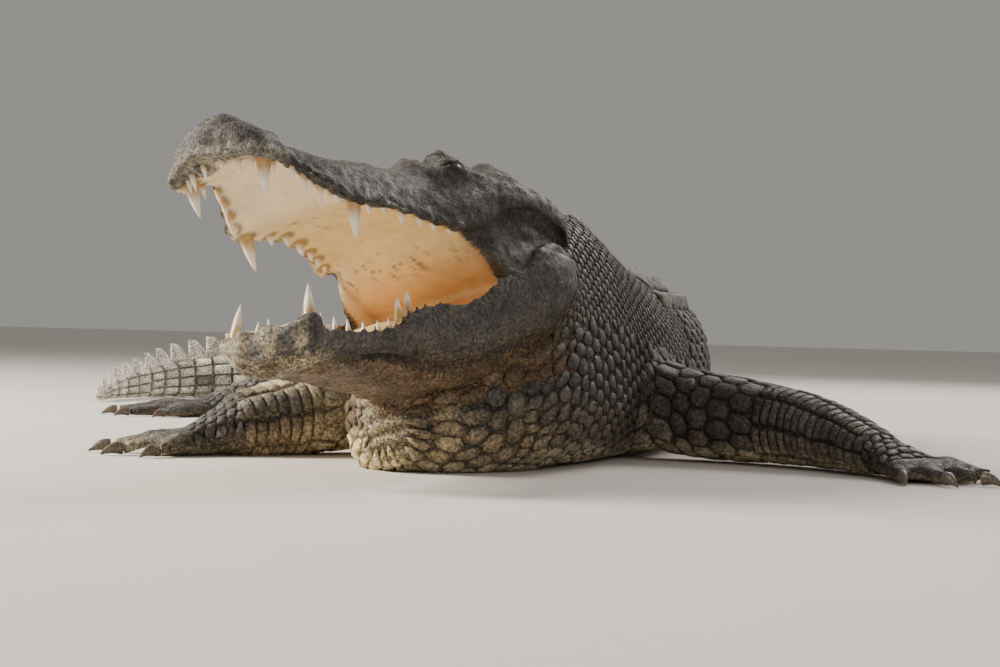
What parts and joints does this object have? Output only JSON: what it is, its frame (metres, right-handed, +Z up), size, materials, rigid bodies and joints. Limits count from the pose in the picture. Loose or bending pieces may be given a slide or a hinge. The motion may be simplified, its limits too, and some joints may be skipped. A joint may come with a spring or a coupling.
{
  "type": "crocodile",
  "caption": "Life-size still crocodile lying on its belly, head raised and turned, jaws wide open, tail curled forward beside it",
  "frame": {"origin": "the middle of the belly's flat, on the floor", "axes": "+Z up; the trunk lies along +Y, tail towards +Y; the head is turned to the animal's right, its snout towards -X -Y, and the mouth opens towards -X -Y"},
  "size_m": [1.0946, 2.0521, 0.2924],
  "materials": {
    "hide": "dry scaly hide, dark grey-brown above and tan to cream on the throat and sides",
    "mouth": "moist cream-yellow lining, orange towards the throat",
    "eye": "wet olive-gold iris with a narrow upright pupil",
    "claw": "worn dark horn",
    "tooth": "ivory crowns, amber at the gum"
  },
  "bodies": {
    "root": {"head": "hide", "lower_jaw": "hide", "cheeks": "mouth", "tongue": "mouth", "eye_left": "eye", "eye_right": "eye", "neck": "hide", "trunk": "hide", "tail_base": "hide", "tail_middle": "hide", "tail_end": "hide", "upper_arm_front_left": "hide", "forearm_front_left": "hide", "hand_front_left": "hide", "claw_1_front_left": "claw", "claw_2_front_left": "claw", "claw_3_front_left": "claw", "upper_arm_front_right": "hide", "forearm_front_right": "hide", "hand_front_right": "hide", "claw_1_front_right": "claw", "claw_2_front_right": "claw", "claw_3_front_right": "claw", "thigh_hind_left": "hide", "shank_hind_left": "hide", "foot_hind_left": "hide", "claw_1_hind_left": "claw", "claw_2_hind_left": "claw", "claw_3_hind_left": "claw", "thigh_hind_right": "hide", "shank_hind_right": "hide", "foot_hind_right": "hide", "claw_1_hind_right": "claw", "claw_2_hind_right": "claw", "claw_3_hind_right": "claw"}
  },
  "joints": []
}
